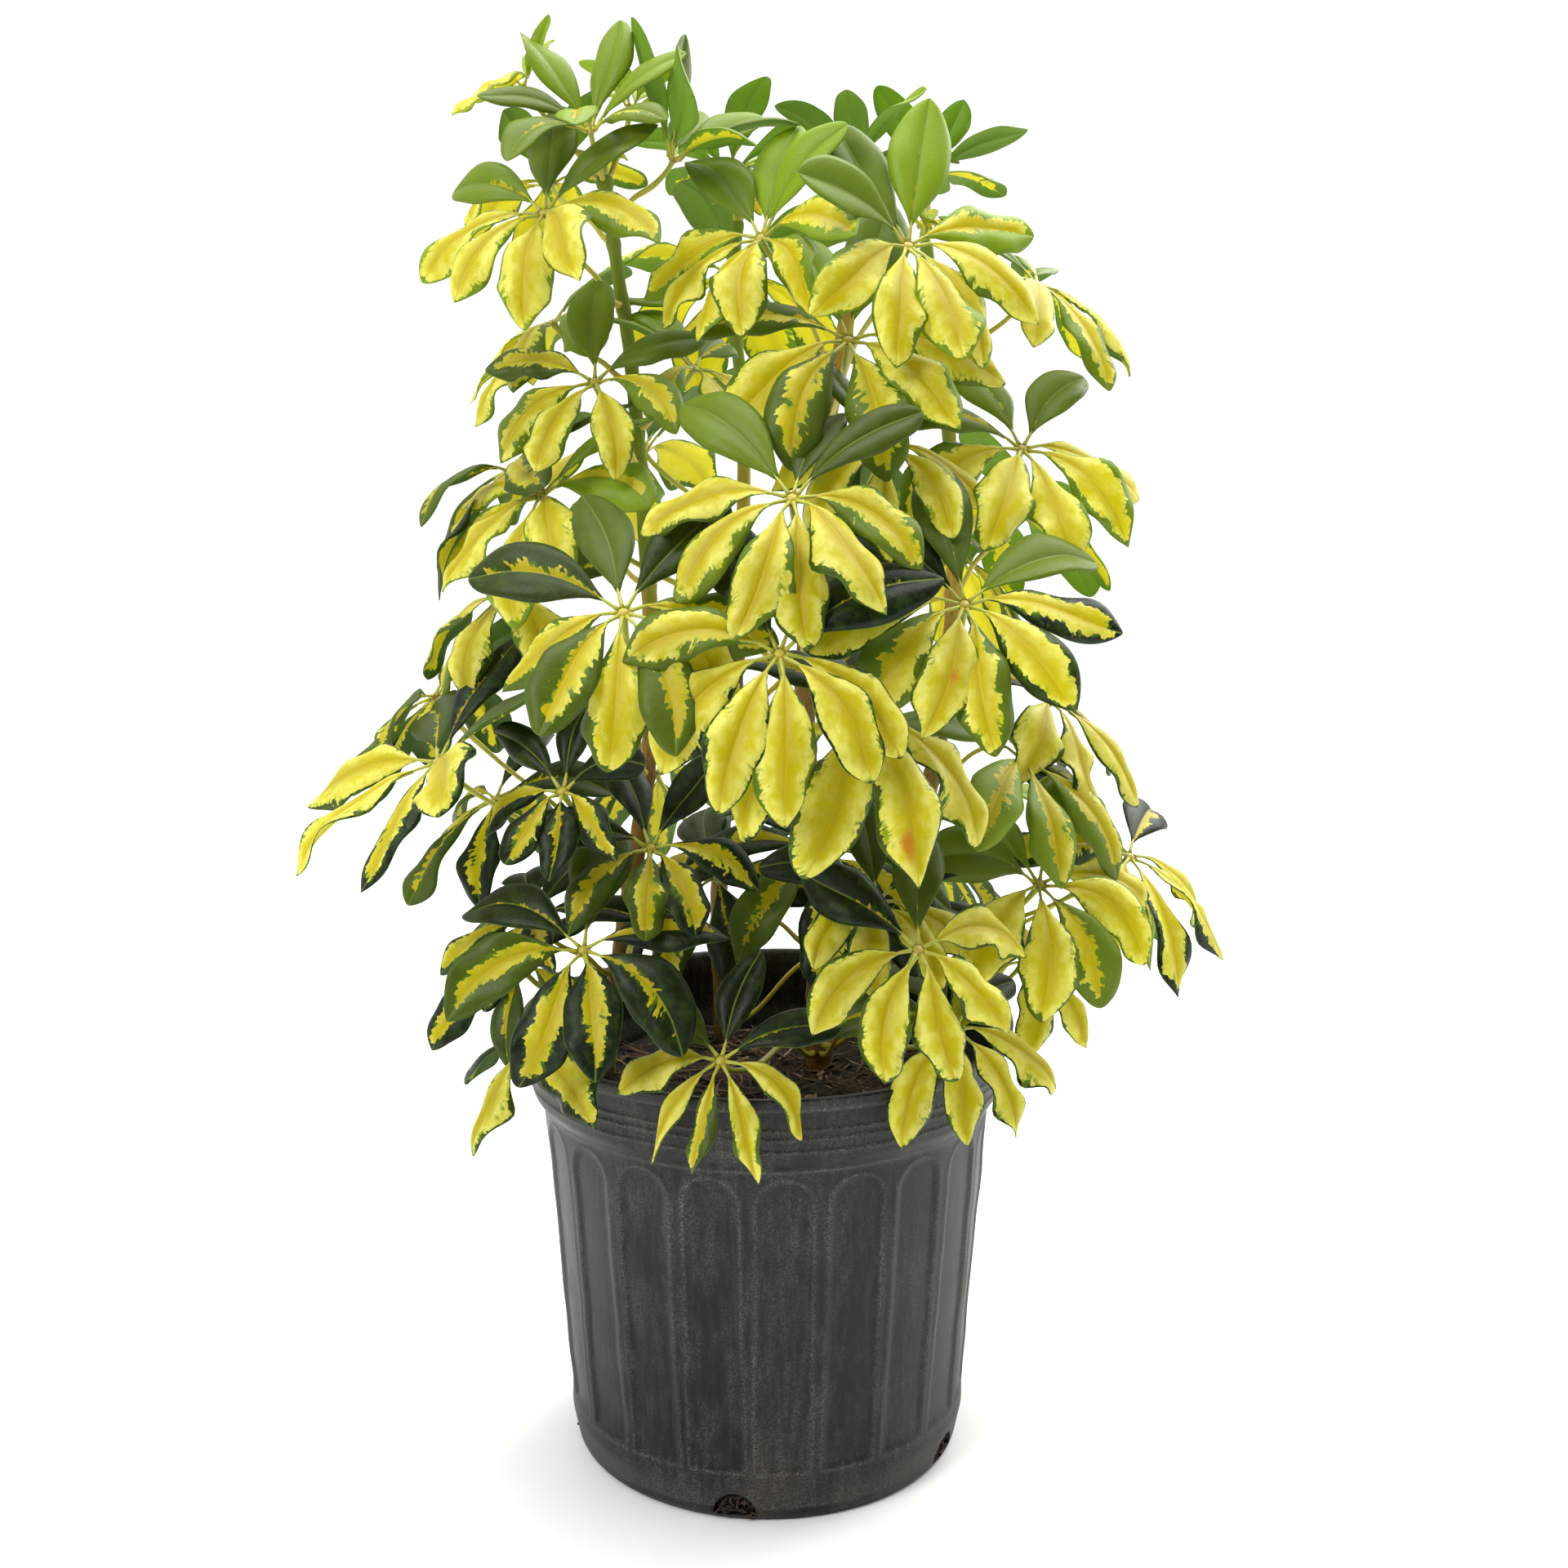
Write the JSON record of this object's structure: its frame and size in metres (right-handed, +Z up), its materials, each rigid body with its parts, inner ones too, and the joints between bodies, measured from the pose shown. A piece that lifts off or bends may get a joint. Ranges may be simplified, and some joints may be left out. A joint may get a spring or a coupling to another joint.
{
  "type": "potted umbrella plant",
  "caption": "Variegated umbrella plant whose leaflets fan out from long stalks on woody stems, growing in bark mix in a round plastic nursery pot with arched side panels.",
  "frame": {"origin": "centre of the pot's flat underside", "axes": "+Z up the plant, -Y towards the side that the picture shows, +X to the right seen from there"},
  "size_m": [0.5197, 0.4333, 0.7928],
  "materials": {
    "moulded_pot": "moulded, dusty, lightly scuffed",
    "bark_mix": "rough shredded bark",
    "woody_stem": "fissured bark, green at the tips",
    "variegated_leaf": "waxy, satin gloss, yellow with green margins",
    "young_leaf": "soft, satin, pale"
  },
  "bodies": {
    "root": {"leaf_01": "young_leaf", "leaf_02": "young_leaf", "leaf_03": "variegated_leaf", "leaf_04": "variegated_leaf", "leaf_05": "variegated_leaf", "leaf_06": "variegated_leaf", "leaf_07": "variegated_leaf", "leaf_08": "variegated_leaf", "leaf_09": "variegated_leaf", "leaf_10": "variegated_leaf", "leaf_11": "variegated_leaf", "leaf_12": "variegated_leaf", "leaf_13": "variegated_leaf", "leaf_14": "variegated_leaf", "leaf_15": "variegated_leaf", "leaf_16": "variegated_leaf", "leaf_17": "variegated_leaf", "leaf_18": "variegated_leaf", "leaf_19": "variegated_leaf", "leaf_20": "variegated_leaf", "leaf_21": "variegated_leaf", "leaf_22": "variegated_leaf", "leaf_23": "variegated_leaf", "leaf_24": "variegated_leaf", "leaf_25": "variegated_leaf", "leaf_26": "variegated_leaf", "leaf_27": "variegated_leaf", "leaf_28": "variegated_leaf", "leaf_29": "variegated_leaf", "leaf_30": "variegated_leaf", "leaf_31": "variegated_leaf", "leaf_32": "variegated_leaf", "leaf_33": "variegated_leaf", "leaf_34": "variegated_leaf", "leaf_35": "variegated_leaf", "leaf_36": "variegated_leaf", "leaf_37": "variegated_leaf", "leaf_38": "variegated_leaf", "leaf_39": "variegated_leaf", "leaf_40": "variegated_leaf", "leaf_41": "variegated_leaf", "leaf_42": "variegated_leaf", "leaf_43": "variegated_leaf", "leaf_44": "variegated_leaf", "leaf_45": "variegated_leaf", "leaf_46": "variegated_leaf", "leaf_47": "variegated_leaf", "leaf_48": "variegated_leaf", "leaf_49": "variegated_leaf", "leaf_50": "variegated_leaf", "leaf_51": "variegated_leaf", "leaf_52": "variegated_leaf", "leaf_53": "variegated_leaf", "nursery_pot": "moulded_pot", "potting_mix": "bark_mix", "stem_back": "woody_stem", "stem_centre": "woody_stem", "stem_left": "woody_stem", "stem_right": "woody_stem"}
  },
  "joints": []
}
